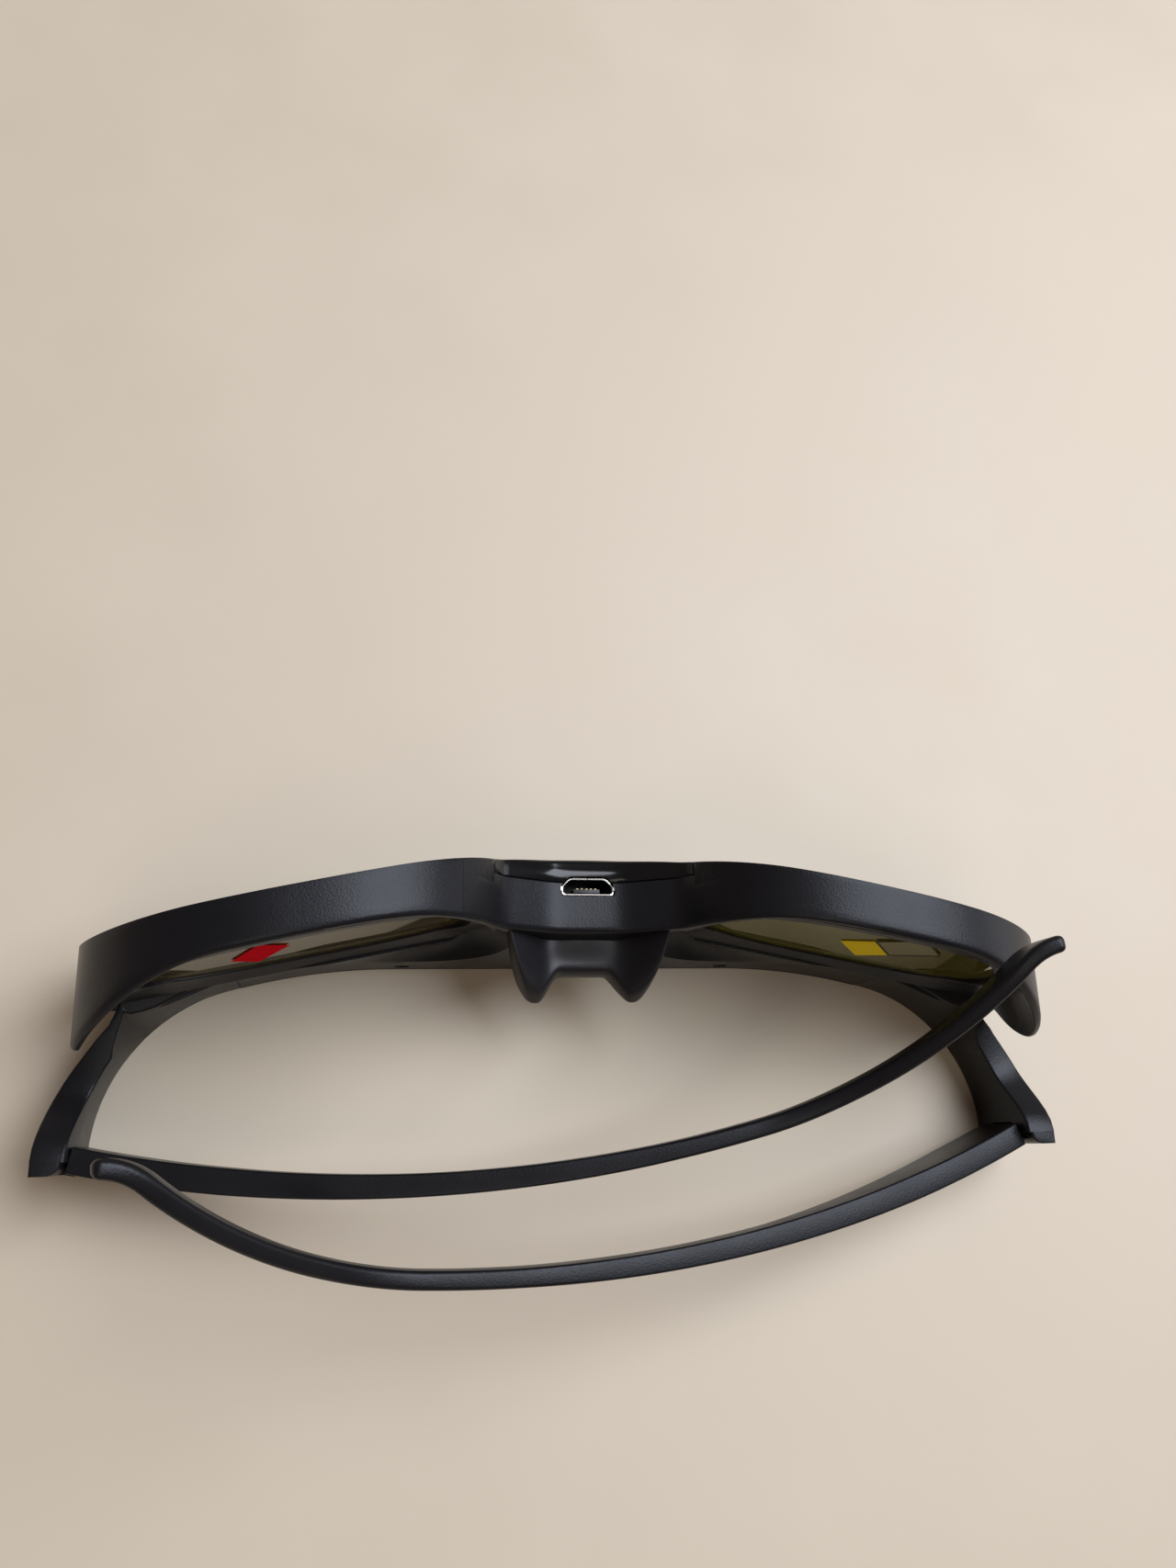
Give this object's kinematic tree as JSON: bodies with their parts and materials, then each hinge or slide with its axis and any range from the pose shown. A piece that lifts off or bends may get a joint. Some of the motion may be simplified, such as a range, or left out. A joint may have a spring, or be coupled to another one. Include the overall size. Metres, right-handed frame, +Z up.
{
  "type": "3-D shutter glasses",
  "caption": "Folded 3-D shutter glasses in satin black plastic with toed tinted lenses, a separate nose piece, hinged temples and a micro-USB charging socket under the bridge.",
  "frame": {"origin": "Middle of the brow's flat rest face, below the bridge, with the glasses folded and lying upside down.", "axes": "+X to the wearer's left along the width, +Y out of the front of the glasses, +Z up from the brow to the lower rims."},
  "size_m": [0.1436, 0.0584, 0.0496],
  "materials": {
    "satin_black": "satin moulded",
    "gloss_black": "polished",
    "nose_black": "fine grain",
    "lens_olive": "polished",
    "lens_brown": "polished",
    "seal_foam": "matte",
    "label_red": "printed film",
    "label_yellow": "printed film",
    "film_grey": "clear film",
    "flex_amber": "satin film",
    "nickel": "bright plated",
    "contact_gold": "plated",
    "socket_black": "matte",
    "board_green": "solder mask",
    "chip_black": "matte",
    "battery_foil": "pouch foil",
    "lead_red": "satin",
    "sensor_dark": "polished",
    "led_clear": "polished",
    "switch_grey": "matte",
    "steel": "turned",
    "screw_black": "black oxide"
  },
  "bodies": {
    "frame": {"front_frame": "satin_black", "rear_cover": "satin_black", "right_lens": "lens_olive", "left_lens": "lens_brown", "right_lens_seal": "seal_foam", "left_lens_seal": "seal_foam", "right_lens_label": "label_red", "left_lens_label": "label_yellow", "left_lens_film": "film_grey", "right_lens_flex": "flex_amber", "left_lens_flex": "flex_amber", "sensor_window": "gloss_black", "usb_shell": "nickel", "usb_tongue": "socket_black", "usb_contacts": "contact_gold", "nose_piece": "nose_black", "main_board": "board_green", "controller_chip": "chip_black", "driver_chip": "chip_black", "battery": "battery_foil", "battery_leads": "lead_red", "photo_sensor": "sensor_dark", "status_led": "led_clear", "tact_switch": "switch_grey", "right_hinge_pin": "steel", "left_hinge_pin": "steel", "cover_screws": "screw_black"},
    "right_temple": {"right_temple": "satin_black"},
    "left_temple": {"left_temple": "satin_black"},
    "power_button": {"power_button": "satin_black"}
  },
  "joints": [
    {"name": "left_temple_hinge", "type": "hinge", "parent": "frame", "child": "left_temple", "pos_m": [0.0697, -0.034, 0.0075], "axis": [0, 0, 1], "range_deg": [0, 78]},
    {"name": "right_temple_hinge", "type": "hinge", "parent": "frame", "child": "right_temple", "pos_m": [-0.0697, -0.034, 0.0075], "axis": [0, 0, -1], "range_deg": [0, 78]},
    {"name": "power_button_press", "type": "slide", "parent": "frame", "child": "power_button", "axis": [0, 0, 1], "range_m": [0, 0.0004], "stiffness_N_per_m": 800}
  ],
  "couplings": [
    {"joint": "right_temple_hinge", "follows": "left_temple_hinge", "ratio": 1}
  ]
}
